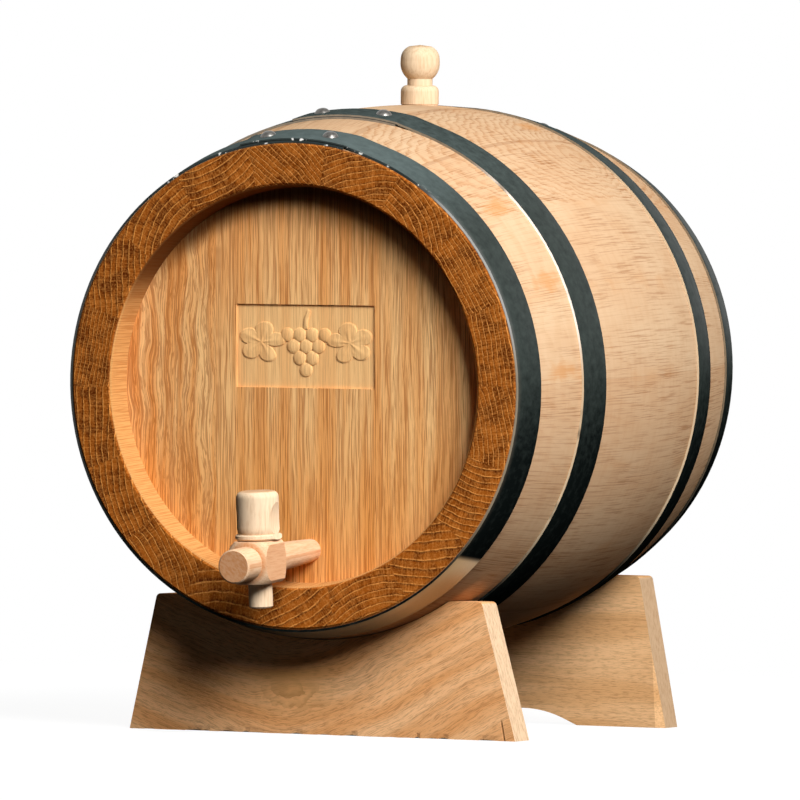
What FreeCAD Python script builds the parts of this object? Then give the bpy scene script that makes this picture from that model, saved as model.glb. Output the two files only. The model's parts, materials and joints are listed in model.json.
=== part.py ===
import FreeCAD, Part
import math
import os

# Five-litre oak cask on two loose cradle blocks, with a turned bung and a wooden tap.
# Millimetres.  +Z up, +Y from the tap towards the rear, floor at Z = 0.
# The cask is drawn level about its own middle, and then leans down towards its tap.
# Round parts of the cask are given as (y, r): the place along its axis from the middle
# of the cask, and the distance from the axis.  Clock angles are in degrees, clockwise
# from the top as seen from the tap end.

# ---------------------------------------------------------------- driving dimensions
cask_length = 230.0           # over the ends of the staves
bilge_radius = 111.0          # outside, at the middle
end_radius = 97.5             # outside, at the ends
stave_count = 18
joint_turn = -1.0             # the stave ring is turned this much from the bung hole, degrees
stave_thickness = 12.5        # in the middle of the bilge
mouth_radius = 80.4           # inside of the chime at its lip
lip_round = 1.2               # easing of the chime's inner edge
rim_round = 0.8               # easing of the chime's outer edge
chime_taper = 0.9             # how much the chime narrows from its lip to the head

head_recess = 13.5            # from the end of the staves to the head's face
head_thickness = 11.0
croze_depth = 3.5             # groove that holds the head's rim
croze_width = 4.0
croze_shoulder = 6.0          # wood left behind the groove before the hollow starts
head_fit = 0.1                # clearance of the rim in its groove
front_board_joints = (-39.5, 34.0)
rear_board_joints = (-31.0, 36.5)
dowel_radius = 2.5
dowel_length = 20.0
dowel_height = 37.0           # above and below the axis
dowel_fit = 0.05

plaque_width = 61.0           # shallow rectangle sunk in the front head
plaque_height = 33.5
plaque_centre_height = 15.6   # above the axis
plaque_depth = 0.9

hoop_thickness = 0.9
hoop_gap = 0.05               # between a hoop and the staves under it
head_hoop_width = 15.4
head_hoop_setback = 0.4       # of its edge from the end of the staves
quarter_hoop_width = 18.3
quarter_hoop_place = 58.9     # its middle, from the middle of the cask
rivet_spacing = 27.0          # along the lap
lap_end_margin = 9.5          # from a rivet to the end of the strip
lap_ramp = 11.0               # length over which the strip comes down off its inner end
lap_angles = {"front_head": 0.1, "front_quarter": 1.2, "rear_quarter": -16.0, "rear_head": 1.0}
rivet_head_radius = 3.2
rivet_head_height = 1.9
rivet_shank_radius = 1.6
rivet_fit = 0.05

bung_place = 10.0             # behind the middle of the cask
bung_turn = 0.75              # clock angle of the bung hole
bung_radius = 7.85            # collar above the stave
bung_collar_height = 5.2
bung_shoulder_height = 2.7
bung_shoulder_radius = 6.1    # where the shoulder meets the neck
bung_neck_radius = 5.2
bung_neck_height = 2.8
bung_knob_radius = 8.05
bung_knob_height = 13.9
bung_knob_widest = 7.4        # above the neck
bung_knob_top_radius = 4.6    # nearly flat top of the knob
bung_hole_radius = 7.6        # at the outside of the stave
bung_tip_radius = 6.9         # of the hole, at the bung's lower end
bung_depth = 14.5             # below the crown of the stave
bung_fit = 0.08

tap_side = 2.0                # where the tap enters the head, to the right of the cask's axis
tap_drop = 66.4               # the same, below the cask's axis
tap_droop = 1.7               # the tap dips this much more than the cask, degrees
tap_roll = 1.3                # it is driven in with its key leaning to the left, degrees
tap_reach = 73.5              # nose, in front of the head's face
tap_nose_radius = 6.8
tap_nose_length = 12.2
tap_front_shoulder = 5.4      # length of the rounded front shoulder
tap_block_radius = 11.0
tap_block_half = 8.4          # flats on the block, from its axis
tap_block_length = 12.6
tap_rear_shoulder = 3.0
tap_shank_radius = 6.3        # just behind the block
tap_entry_radius = 4.6        # where the shank enters the head
tap_tail = 20.0               # shank behind the head's face
tap_bore_radius = 2.2
tap_fit = 0.05                # shank in the head
key_ahead = 48.9              # key axis, in front of the head's face
key_top_radius = 6.2          # tapered hole, at the block's top flat
key_bottom_radius = 5.4       # tapered hole, at the block's bottom flat
key_fit = 0.06
key_collar_lift = 0.3         # of the collar above the block
key_collar_radius = 9.3
key_collar_height = 2.3
key_collar_bead = 0.6         # bevel of the collar's rim
key_handle_foot_radius = 7.9
key_handle_radius = 8.5
key_handle_height = 17.3
key_waist_height = 3.5        # where the handle reaches its full radius, above the collar
key_handle_top_radius = 6.5
key_handle_chamfer = 3.0
key_spout_length = 10.1
key_spout_radius = 4.8
key_port_radius = 2.0
thumb_hollow_radius = 19.0    # one on each side, facing left and right
thumb_hollow_depth = 1.4
thumb_hollow_height = 5.4     # its deepest line, above the collar

turned_edge = 0.6             # bevel on the sharp edges of the tap, key and bung
turned_bow = 0.36             # how far turned shoulders bow out towards their square corner

axis_height = 145.3           # middle of the cask above the floor
cask_lean = 2.4               # the cask's axis dips towards the tap, degrees
cradle_thickness = 14.6
front_cradle_place = 77.0     # middle of the front block, ahead of the middle of the cask
front_cradle_height = 55.3
front_cradle_left = 83.9      # left end of its foot, from the middle; its ends were sawn by eye
front_cradle_right = 86.6
front_left_slope = 11.4       # how far its left end comes in at the top
front_right_slope = 15.5
rear_cradle_height = 62.8
rear_cradle_half = 86.9       # half width of its foot
rear_cradle_slope = 12.3
cradle_hoop_gap = 0.6         # rear block behind the rearmost edge of the quarter hoop
cradle_corner_round = 2.0
saddle_clearance = 0.3
arch_half_span = 47.5         # relief under the rear block
arch_height = 6.5
arch_side_angle = 24.0        # of the relief's ends, degrees
arch_round = 45.0
facet_rise = 30.0             # sawn corner of the rear block, up its right-hand edge
facet_width = 4.0
facet_depth = 1.6

cut_margin = 1.0              # how far a cutting shape runs past what it cuts
same_place = 1e-6

# ---------------------------------------------------------------- worked out from them
half_length = cask_length / 2
bulge = bilge_radius - end_radius
outer_arc_radius = (half_length ** 2 + bulge ** 2) / (2 * bulge)
head_face = half_length - head_recess
head_back = head_face - head_thickness
wall_radius = mouth_radius - chime_taper
croze_radius = wall_radius + croze_depth
hollow_end = head_face - croze_width - croze_shoulder
head_radius = croze_radius - head_fit
inner_bilge_radius = bilge_radius - stave_thickness
stave_pitch = 360.0 / stave_count
lean_cos = math.cos(math.radians(cask_lean))
lean_sin = math.sin(math.radians(cask_lean))
tap_dip = math.radians(cask_lean + tap_droop)
tap_entry_ahead = head_face * lean_cos - tap_drop * lean_sin
nose_rim_radius = tap_nose_radius - turned_edge
foremost = tap_entry_ahead + tap_reach * math.cos(tap_dip) + nose_rim_radius * math.sin(tap_dip)
rearmost = half_length * lean_cos + (end_radius - rim_round) * lean_sin
cask_y = (foremost - rearmost) / 2             # puts the origin under the middle of the whole
cask_place = FreeCAD.Vector(0, cask_y, axis_height)
tap_origin = FreeCAD.Vector(tap_side, -head_face, -tap_drop)
tap_block_rear = -(tap_reach - tap_nose_length - tap_front_shoulder - tap_block_length)
shank_slope = (tap_shank_radius - tap_entry_radius) / -(tap_block_rear + tap_rear_shoulder)
key_slope = (key_top_radius - key_bottom_radius) / (2 * tap_block_half)
quarter_outer = quarter_hoop_place + quarter_hoop_width / 2
quarter_inner = quarter_hoop_place - quarter_hoop_width / 2
X_AXIS = FreeCAD.Vector(1, 0, 0)
Y_AXIS = FreeCAD.Vector(0, 1, 0)
Z_AXIS = FreeCAD.Vector(0, 0, 1)
ORIGIN = FreeCAD.Vector(0, 0, 0)


def outer_radius(y):
    """Outside of the cask at a place along its axis."""
    return bilge_radius - outer_arc_radius + math.sqrt(outer_arc_radius ** 2 - y ** 2)


def inner_radius(y):
    """Inside of the hollow at a place along the axis."""
    rise = inner_bilge_radius - wall_radius
    arc = (hollow_end ** 2 + rise ** 2) / (2 * rise)
    return inner_bilge_radius - arc + math.sqrt(arc ** 2 - y ** 2)


def point(y, r):
    """A profile point of a round part, in the plane above the cask's axis."""
    return FreeCAD.Vector(0, y, r)


def line(a, b):
    return Part.LineSegment(a, b).toShape()


def arc(a, middle, b):
    return Part.Arc(a, middle, b).toShape()


def chain(points):
    """Straight edges through the points."""
    return [line(a, b) for a, b in zip(points, points[1:])]


def bow(a, corner, b):
    """Turned curve from a to b, bowed out towards a corner."""
    middle = (a + b) / 2
    curve = Part.BSplineCurve()
    curve.interpolate([a, middle + (corner - middle) * turned_bow, b])
    return curve.toShape()


def face(edges):
    return Part.Face(Part.Wire(edges))


def turned(profile, axis, start=0.0, sweep=360.0):
    """Revolve a profile about an axis through the origin, from a start angle."""
    solid = profile.revolve(ORIGIN, axis, sweep)
    solid.rotate(ORIGIN, axis, start)
    return solid


def cylinder(radius, height, base, axis):
    return Part.makeCylinder(radius, height, base, axis)


def stood(shape):
    """Lean a shape drawn about the cask's own middle, and lift it to its place."""
    placed = shape.copy()
    placed.rotate(ORIGIN, X_AXIS, cask_lean)
    placed.translate(cask_place)
    return placed


def on_tap(shape):
    """Roll and droop a shape drawn about the tap's entry, and move it there on the head."""
    placed = shape.copy()
    placed.rotate(ORIGIN, Y_AXIS, -tap_roll)
    placed.rotate(ORIGIN, X_AXIS, tap_droop)
    placed.translate(tap_origin)
    return placed


def save(name, shape):
    shape.exportStep("parts/" + name + ".step")


def save_cask(name, shape):
    """Save a piece drawn about the cask's own middle, leaning and in its place."""
    save(name, stood(shape))


# ---------------------------------------------------------------- staves
def stave_profile():
    """Section of a stave along its length: bilge outside, crozes and hollow inside."""
    def end_edges(side):
        lip = side * half_length
        groove_front = side * head_face
        groove_back = side * (head_face - croze_width)
        bevel = side * (half_length - lip_round)
        return [
            point(lip, end_radius - rim_round),
            point(lip, mouth_radius + lip_round),
            point(bevel, mouth_radius),
            point(groove_front, wall_radius),
            point(groove_front, croze_radius),
            point(groove_back, croze_radius),
            point(groove_back, wall_radius),
            point(side * hollow_end, wall_radius),
        ]

    front = end_edges(-1)
    rear = end_edges(1)
    rim_y = half_length - rim_round
    rim_r = outer_radius(rim_y)
    outside = arc(point(-rim_y, rim_r), point(0, bilge_radius), point(rim_y, rim_r))
    inside = arc(front[-1], point(0, inner_bilge_radius), rear[-1])
    edges = [outside, line(point(rim_y, rim_r), rear[0])]
    edges += chain(rear)
    edges += [inside]
    edges += chain(list(reversed(front)))
    edges += [line(front[0], point(-rim_y, rim_r))]
    return face(edges)


def bung_hole():
    """Tapered hole through the bung stave, from above it to inside the cask."""
    slope = (bung_hole_radius - bung_tip_radius) / bung_depth
    above = bilge_radius - inner_bilge_radius
    below = bung_depth + above
    top = bung_hole_radius + slope * above
    bottom = bung_hole_radius - slope * below
    base = FreeCAD.Vector(0, bung_place, bilge_radius - below)
    hole = Part.makeCone(bottom, top, below + above, base, Z_AXIS)
    hole.rotate(ORIGIN, Y_AXIS, bung_turn)
    return hole


def make_staves():
    first = turned(stave_profile(), Y_AXIS, joint_turn - stave_pitch / 2, stave_pitch)
    save_cask("bung_stave", first.cut(bung_hole()))
    for number in range(2, stave_count + 1):
        stave = first.copy()
        stave.rotate(ORIGIN, Y_AXIS, (number - 1) * stave_pitch)
        save_cask("stave_%02d" % number, stave)


# ---------------------------------------------------------------- hoops and rivets
def strip_section(y_low, y_high, lift):
    """Section of a hoop strip that lies on the staves, or on a layer of itself."""
    inner = hoop_gap + lift
    outer = inner + hoop_thickness
    middle = (y_low + y_high) / 2

    def at(y, out):
        return point(y, outer_radius(y) + out)

    return Part.Wire([
        arc(at(y_low, inner), at(middle, inner), at(y_high, inner)),
        line(at(y_high, inner), at(y_high, outer)),
        arc(at(y_high, outer), at(middle, outer), at(y_low, outer)),
        line(at(y_low, outer), at(y_low, inner)),
    ])


def lap_turn(length, y):
    """Angle that a length along the hoop takes up."""
    return math.degrees(length / outer_radius(y))


def make_hoop(name, y_low, y_high):
    """One steel strip, wound once round and lapped over its own inner end."""
    middle = (y_low + y_high) / 2
    centre = lap_angles[name]
    half_lap = lap_turn(rivet_spacing / 2 + lap_end_margin, middle)
    ramp = lap_turn(lap_ramp, middle)
    on_staves = Part.Face(strip_section(y_low, y_high, 0.0))
    on_itself = Part.Face(strip_section(y_low, y_high, hoop_thickness))
    inner_end = centre + half_lap
    ring = turned(on_staves, Y_AXIS, inner_end + ramp, 360.0 - ramp)
    lap = turned(on_itself, Y_AXIS, centre - half_lap, 2 * half_lap)
    high_end = strip_section(y_low, y_high, hoop_thickness)
    high_end.rotate(ORIGIN, Y_AXIS, inner_end)
    low_end = strip_section(y_low, y_high, 0.0)
    low_end.rotate(ORIGIN, Y_AXIS, inner_end + ramp)
    step = Part.makeLoft([high_end, low_end], True, True)
    hoop = ring.fuse([lap, step])
    half_spacing = lap_turn(rivet_spacing / 2, middle)
    spots = [centre - half_spacing, centre + half_spacing]
    hole = rivet_blank(rivet_shank_radius + rivet_fit)
    hoop = hoop.cut([at_spot(hole, middle, spot) for spot in spots])
    save_cask(name + "_hoop", hoop)
    rivets = [at_spot(make_rivet(), middle, spot) for spot in spots]
    save_cask(name + "_rivets", Part.makeCompound(rivets))


def rivet_blank(radius):
    """A pin through both layers of the lap, about Z, from the strip's inner face."""
    return cylinder(radius, 2 * hoop_thickness, ORIGIN, Z_AXIS)


def make_rivet():
    """Domed head on the lap, with its shank through both layers."""
    top = 2 * hoop_thickness
    crown = FreeCAD.Vector(0, 0, top + rivet_head_height)
    rim = FreeCAD.Vector(rivet_head_radius, 0, top)
    edges = chain([
        crown,
        FreeCAD.Vector(0, 0, 0),
        FreeCAD.Vector(rivet_shank_radius, 0, 0),
        FreeCAD.Vector(rivet_shank_radius, 0, top),
        rim,
    ])
    edges.append(bow(rim, FreeCAD.Vector(rivet_head_radius, 0, crown.z), crown))
    return face(edges).revolve(ORIGIN, Z_AXIS, 360)


def at_spot(shape, y, clock):
    """Stand a shape drawn about Z square on the staves, at a place and a clock angle."""
    placed = shape.copy()
    placed.rotate(ORIGIN, X_AXIS, -math.degrees(math.asin(y / outer_arc_radius)))
    placed.translate(point(y, outer_radius(y) + hoop_gap))
    placed.rotate(ORIGIN, Y_AXIS, clock)
    return placed


def make_hoops():
    head_outer = half_length - head_hoop_setback
    head_inner = head_outer - head_hoop_width
    make_hoop("front_head", -head_outer, -head_inner)
    make_hoop("front_quarter", -quarter_outer, -quarter_inner)
    make_hoop("rear_quarter", quarter_inner, quarter_outer)
    make_hoop("rear_head", head_inner, head_outer)


# ---------------------------------------------------------------- heads
def head_disc():
    """Round head with its rim bevelled on the inside to fit the croze, face towards -Y."""
    rim = croze_width - head_fit
    inside = wall_radius - croze_shoulder / 2
    edges = chain([
        point(-head_face, 0),
        point(-head_face, head_radius),
        point(-head_face + rim, head_radius),
        point(-head_face + rim, wall_radius - head_fit),
        point(-head_back, inside),
        point(-head_back, 0),
        point(-head_face, 0),
    ])
    return face(edges).revolve(ORIGIN, Y_AXIS, 360)


def head_dowels(joints, radius, length):
    """Pins across each joint between two boards, above and below the axis."""
    middle = -(head_face + head_back) / 2
    pins = []
    for joint in joints:
        for height in (-dowel_height, dowel_height):
            base = FreeCAD.Vector(joint - length / 2, middle, height)
            pins.append(cylinder(radius, length, base, X_AXIS))
    return pins


def make_head(name, joints, extra_cuts, to_rear):
    """Boards cut from one round head, with their dowels."""
    holes = head_dowels(joints, dowel_radius + dowel_fit, dowel_length + 2 * dowel_fit)
    disc = head_disc().cut(holes + extra_cuts)
    limits = [-head_radius] + list(joints) + [head_radius]
    pieces = []
    for number, (left, right) in enumerate(zip(limits, limits[1:]), 1):
        corner = FreeCAD.Vector(left, -half_length, -head_radius)
        slab = Part.makeBox(right - left, half_length, 2 * head_radius, corner)
        pieces.append(("%s_board_%d" % (name, number), disc.common(slab)))
    dowels = head_dowels(joints, dowel_radius, dowel_length)
    pieces.append((name + "_dowels", Part.makeCompound(dowels)))
    for piece_name, piece in pieces:
        if to_rear:
            piece.rotate(ORIGIN, Z_AXIS, 180)
        save_cask(piece_name, piece)


def plaque_pocket():
    corner = FreeCAD.Vector(-plaque_width / 2, -half_length, plaque_centre_height - plaque_height / 2)
    deep = half_length - head_face + plaque_depth
    return Part.makeBox(plaque_width, deep, plaque_height, corner)


# ---------------------------------------------------------------- tap
def shank_radius(y):
    """Radius of the tap's tapered shank, y behind the head's face."""
    return tap_entry_radius - shank_slope * y


def tap_hole():
    """Tapered hole through the front head for the shank."""
    front = -cut_margin
    back = head_thickness + cut_margin
    hole = Part.makeCone(shank_radius(front) + tap_fit, shank_radius(back) + tap_fit,
                         back - front, FreeCAD.Vector(0, front, 0), Y_AXIS)
    return on_tap(hole)


def key_hole():
    """Tapered hole for the key, about Z, through the whole height of the block."""
    half = tap_block_half + cut_margin
    return Part.makeCone(key_bottom_radius - key_slope * cut_margin,
                         key_top_radius + key_slope * cut_margin,
                         2 * half, FreeCAD.Vector(0, 0, -half), Z_AXIS)


def make_tap_body():
    """Turned along Y: nose, block with four flats, tapered shank; bored for the drink."""
    nose = -tap_reach
    shoulder_start = nose + tap_nose_length
    block_front = shoulder_start + tap_front_shoulder
    edges = chain([
        point(tap_tail, 0),
        point(nose, 0),
        point(nose, tap_nose_radius - turned_edge),
        point(nose + turned_edge, tap_nose_radius),
        point(shoulder_start, tap_nose_radius),
    ])
    edges.append(bow(point(shoulder_start, tap_nose_radius),
                     point(shoulder_start, tap_block_radius),
                     point(block_front, tap_block_radius)))
    edges += chain([
        point(block_front, tap_block_radius),
        point(tap_block_rear, tap_block_radius),
        point(tap_block_rear + tap_rear_shoulder, tap_shank_radius),
        point(tap_tail, shank_radius(tap_tail)),
        point(tap_tail, 0),
    ])
    body = face(edges).revolve(ORIGIN, Y_AXIS, 360)
    square = Part.makeBox(2 * tap_block_half, tap_reach + tap_tail, 2 * tap_block_half,
                          FreeCAD.Vector(-tap_block_half, nose, -tap_block_half))
    body = body.common(square)
    hole = key_hole()
    hole.translate(FreeCAD.Vector(0, -key_ahead, 0))
    bore = cylinder(tap_bore_radius, key_ahead + tap_tail, FreeCAD.Vector(0, -key_ahead, 0), Y_AXIS)
    save_cask("tap_body", on_tap(body.cut([hole, bore])))


def make_tap_key():
    """Turned about Z: spout, tapered plug, collar and thumb handle; closed at rest."""
    def at(r, z):
        return FreeCAD.Vector(r, 0, z)

    plug_low = -tap_block_half
    spout_end = plug_low - key_spout_length
    collar_low = tap_block_half + key_collar_lift
    collar_high = collar_low + key_collar_height
    waist = collar_high + key_waist_height
    handle_top = collar_high + key_handle_height
    chamfer_low = handle_top - key_handle_chamfer
    chamfer_high = handle_top - turned_edge / 2
    edges = chain([
        at(0, handle_top),
        at(0, spout_end),
        at(key_spout_radius - turned_edge, spout_end),
        at(key_spout_radius, spout_end + turned_edge),
        at(key_bottom_radius - key_fit - turned_edge, plug_low - turned_edge),
        at(key_bottom_radius - key_fit, plug_low),
        at(key_top_radius - key_fit + key_slope * key_collar_lift, collar_low),
        at(key_collar_radius - key_collar_bead, collar_low),
        at(key_collar_radius, collar_low + key_collar_bead),
        at(key_collar_radius, collar_high - key_collar_bead),
        at(key_collar_radius - key_collar_bead, collar_high),
        at(key_handle_foot_radius, collar_high),
    ])
    edges.append(bow(at(key_handle_foot_radius, collar_high),
                     at(key_handle_radius, collar_high), at(key_handle_radius, waist)))
    edges.append(line(at(key_handle_radius, waist), at(key_handle_radius, chamfer_low)))
    edges.append(bow(at(key_handle_radius, chamfer_low), at(key_handle_radius, chamfer_high),
                     at(key_handle_top_radius, chamfer_high)))
    edges.append(line(at(key_handle_top_radius, chamfer_high), at(0, handle_top)))
    key = face(edges).revolve(ORIGIN, Z_AXIS, 360)
    cuts = [
        cylinder(key_port_radius, key_top_radius + cut_margin, ORIGIN, X_AXIS),
        cylinder(key_port_radius, cut_margin - spout_end, at(0, spout_end - cut_margin), Z_AXIS),
    ]
    grip = collar_high + thumb_hollow_height
    for side in (-1, 1):
        far = side * (key_handle_radius - thumb_hollow_depth + thumb_hollow_radius)
        base = FreeCAD.Vector(far, -key_handle_radius, grip)
        cuts.append(cylinder(thumb_hollow_radius, 2 * key_handle_radius, base, Y_AXIS))
    key = key.cut(cuts)
    key.translate(FreeCAD.Vector(0, -key_ahead, 0))
    save_cask("tap_key", on_tap(key))


# ---------------------------------------------------------------- bung
def make_bung():
    """Turned about Z: tapered shank, collar, neck and ball knob."""
    def at(r, z):
        return FreeCAD.Vector(r, 0, z)

    shoulder_high = bung_collar_height + bung_shoulder_height
    neck_high = shoulder_high + bung_neck_height
    widest = neck_high + bung_knob_widest
    top = neck_high + bung_knob_height
    knob_rim = top - turned_edge
    edges = chain([
        at(0, top),
        at(0, -bung_depth),
        at(bung_tip_radius - bung_fit - turned_edge, -bung_depth),
        at(bung_tip_radius - bung_fit, -bung_depth + turned_edge),
        at(bung_hole_radius - bung_fit, 0),
        at(bung_radius, bung_radius - bung_hole_radius),
        at(bung_radius, bung_collar_height),
    ])
    edges.append(bow(at(bung_radius, bung_collar_height), at(bung_radius, shoulder_high),
                     at(bung_shoulder_radius, shoulder_high)))
    edges += chain([
        at(bung_shoulder_radius, shoulder_high),
        at(bung_neck_radius, shoulder_high),
        at(bung_neck_radius, neck_high),
    ])
    edges.append(bow(at(bung_neck_radius, neck_high), at(bung_knob_radius, neck_high),
                     at(bung_knob_radius, widest)))
    edges.append(bow(at(bung_knob_radius, widest), at(bung_knob_radius, knob_rim),
                     at(bung_knob_top_radius, knob_rim)))
    edges.append(line(at(bung_knob_top_radius, knob_rim), at(0, top)))
    bung = face(edges).revolve(ORIGIN, Z_AXIS, 360)
    bung.translate(FreeCAD.Vector(0, bung_place, bilge_radius))
    bung.rotate(ORIGIN, Y_AXIS, bung_turn)
    save_cask("bung", bung)


# ---------------------------------------------------------------- cradle blocks
def saddle():
    """Round of the cask with a little clearance, to cut the blocks to its shape."""
    low = point(-half_length, outer_radius(half_length) + saddle_clearance)
    high = point(half_length, outer_radius(half_length) + saddle_clearance)
    crown = point(0, bilge_radius + saddle_clearance)
    edges = [arc(low, crown, high)]
    edges += chain([high, point(half_length, 0), point(-half_length, 0), low])
    return stood(face(edges).revolve(ORIGIN, Y_AXIS, 360))


def edges_along(solid, height):
    """The edges of a prism that run along Y at a height."""
    return [edge for edge in solid.Edges
            if all(abs(v.Z - height) < same_place for v in edge.Vertexes)
            and abs(edge.Vertexes[0].X - edge.Vertexes[-1].X) < same_place]


def prism(foot_line, top_line, place):
    """Four-sided bar of the cradle's thickness, centred on a place along the cask.

    Each line is (left end, right end, height)."""
    foot_left, foot_right, foot = foot_line
    top_left, top_right, top = top_line
    corners = [
        FreeCAD.Vector(foot_left, 0, foot),
        FreeCAD.Vector(foot_right, 0, foot),
        FreeCAD.Vector(top_right, 0, top),
        FreeCAD.Vector(top_left, 0, top),
    ]
    bar = face(chain(corners + corners[:1])).extrude(FreeCAD.Vector(0, cradle_thickness, 0))
    bar.translate(FreeCAD.Vector(0, cask_y + place - cradle_thickness / 2, 0))
    return bar


def rear_cradle_place():
    """Middle of the rear block, just behind the quarter hoop where it hangs furthest back."""
    hoop_radius = outer_radius(quarter_outer) + hoop_gap + hoop_thickness
    hoop_back = quarter_outer * lean_cos + hoop_radius * lean_sin
    return hoop_back + cradle_hoop_gap + cradle_thickness / 2


def cradle_blank(foot_line, top_line, place):
    """Wide foot, sloping ends, two rounded top corners and the cask's own shape on top."""
    block = prism(foot_line, top_line, place)
    block = block.makeFillet(cradle_corner_round, edges_along(block, top_line[-1]))
    return block.cut(saddle())


def arch():
    """Shallow relief under the rear block, with sloping ends that round into its roof."""
    slope = math.tan(math.radians(arch_side_angle))
    roof_half = arch_half_span - arch_height / slope
    foot_half = arch_half_span + cut_margin / slope
    relief = prism((-foot_half, foot_half, -cut_margin), (-roof_half, roof_half, arch_height),
                   rear_cradle_place())
    return relief.makeFillet(arch_round, edges_along(relief, arch_height))


def sawn_facet():
    """Thin wedge off the rear block's lower right-hand front corner."""
    front = cask_y + rear_cradle_place() - cradle_thickness / 2
    slope = rear_cradle_slope / rear_cradle_height
    low = FreeCAD.Vector(rear_cradle_half, front, 0)
    apex = FreeCAD.Vector(rear_cradle_half - slope * facet_rise, front, facet_rise)
    inner = low + FreeCAD.Vector(-facet_width, 0, 0)
    back = low + FreeCAD.Vector(0, facet_depth, 0)
    triangles = [(low, inner, back), (low, apex, inner), (inner, apex, back), (back, apex, low)]
    faces = [face(chain([a, b, c, a])) for a, b, c in triangles]
    return Part.Solid(Part.Shell(faces))


def make_cradles():
    front_foot = (-front_cradle_left, front_cradle_right, 0)
    front_top = (front_left_slope - front_cradle_left, front_cradle_right - front_right_slope,
                 front_cradle_height)
    save("cradle_front", cradle_blank(front_foot, front_top, -front_cradle_place))
    rear_foot = (-rear_cradle_half, rear_cradle_half, 0)
    rear_top_half = rear_cradle_half - rear_cradle_slope
    rear_top = (-rear_top_half, rear_top_half, rear_cradle_height)
    rear = cradle_blank(rear_foot, rear_top, rear_cradle_place())
    save("cradle_rear", rear.cut([arch(), sawn_facet()]))


def report_capacity():
    """Print what the cask holds between its heads."""
    steps = 200
    slice_length = 2 * head_back / steps
    places = [-head_back + (i + 0.5) * slice_length for i in range(steps)]
    inside = [inner_radius(y) if abs(y) < hollow_end else wall_radius for y in places]
    volume = sum(math.pi * r ** 2 * slice_length for r in inside)
    print("capacity %.2f litres" % (volume / 1e6))


def main():
    os.makedirs("parts", exist_ok=True)
    make_staves()
    make_hoops()
    tap_bore = tap_hole()
    make_head("front_head", front_board_joints, [tap_bore, plaque_pocket()], False)
    make_head("rear_head", rear_board_joints, [], True)
    make_tap_body()
    make_tap_key()
    make_bung()
    make_cradles()
    report_capacity()


main()
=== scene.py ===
# %% [markdown]
# # A small oak cask with a wooden tap
#
# The cask is 18 oak staves held by four steel hoops, with a head of three boards let into each end.
# It lies on two sawn oak blocks, leaning a little towards a turned wooden tap, and a turned bung
# closes the hole on top. The solids come ready made from the packed part, in metres, and stay
# where they are. This script gives each of them a finish, adds the small things that only show
# close up, and sets up the floor, the light and the camera.

# %% Load the packed cask
import json
import math
import random

import bmesh
import bpy
from mathutils import Matrix, Vector


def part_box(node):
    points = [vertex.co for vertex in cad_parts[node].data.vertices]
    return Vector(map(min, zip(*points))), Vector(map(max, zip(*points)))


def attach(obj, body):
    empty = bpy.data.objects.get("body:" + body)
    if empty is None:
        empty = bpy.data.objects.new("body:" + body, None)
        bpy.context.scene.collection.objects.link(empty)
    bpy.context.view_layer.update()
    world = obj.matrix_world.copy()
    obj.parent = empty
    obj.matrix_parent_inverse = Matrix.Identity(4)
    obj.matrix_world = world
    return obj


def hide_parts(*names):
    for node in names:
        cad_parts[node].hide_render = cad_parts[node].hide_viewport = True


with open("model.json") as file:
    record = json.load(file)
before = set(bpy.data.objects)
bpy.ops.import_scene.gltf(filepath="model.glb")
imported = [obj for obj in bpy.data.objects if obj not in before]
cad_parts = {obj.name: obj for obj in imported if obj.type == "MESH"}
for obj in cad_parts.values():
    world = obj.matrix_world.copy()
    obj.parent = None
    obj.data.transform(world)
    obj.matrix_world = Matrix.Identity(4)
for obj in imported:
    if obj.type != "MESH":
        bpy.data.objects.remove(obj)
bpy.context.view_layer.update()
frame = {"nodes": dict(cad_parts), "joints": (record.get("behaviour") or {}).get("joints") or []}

print("nodes:", len(frame["nodes"]))

# %% [markdown]
# ## Where the cask lies
#
# Wood grain follows the piece it is in, so most finishes need to know how far along the cask a
# point is, how far from its axis and at which hour of the clock. The cask leans, so these are
# worked out in the cask's own level frame. Its lean is read from the axis of the bung's joint and
# its middle from the box round all the staves, so nothing has to be measured by hand.

# %% The cask's own frame
STAVES = ["bung_stave"] + ["stave_%02d" % n for n in range(2, 19)]
bung_axis = next(j["axis"] for j in frame["joints"] if j["name"] == "bung_pull")
LEAN = math.atan2(-bung_axis[1], bung_axis[2])
stave_boxes = [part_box(name) for name in STAVES]
lowest = Vector([min(box[0][i] for box in stave_boxes) for i in range(3)])
highest = Vector([max(box[1][i] for box in stave_boxes) for i in range(3)])
CASK_MIDDLE = (lowest + highest) / 2


def on_cask(point):
    """A world point in the cask's own frame in millimetres: x across, y back along it, z up."""
    x, y, z = (Vector(point) - CASK_MIDDLE) * 1000
    return Vector((x, y * math.cos(LEAN) + z * math.sin(LEAN), z * math.cos(LEAN) - y * math.sin(LEAN)))


def in_world(x, y, z):
    """The world point in metres of a place on the cask in millimetres."""
    lying = Vector((x, y * math.cos(LEAN) - z * math.sin(LEAN), y * math.sin(LEAN) + z * math.cos(LEAN)))
    return CASK_MIDDLE + lying / 1000


places = [on_cask(v.co) for name in STAVES for v in frame["nodes"][name].data.vertices]
HALF_LENGTH = max(abs(p.y) for p in places)
BILGE = max(math.hypot(p.x, p.z) for p in places)
MOUTH = min(math.hypot(p.x, p.z) for p in places if abs(p.y) > HALF_LENGTH - 0.1)
HEAD_FACE = min(on_cask(v.co).y for v in frame["nodes"]["front_head_board_2"].data.vertices)
print("lean %.2f degrees, half length %.1f, bilge radius %.1f" % (math.degrees(LEAN), HALF_LENGTH, BILGE))
print("end face from radius %.1f, front head at y %.1f" % (MOUTH, HEAD_FACE))

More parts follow.
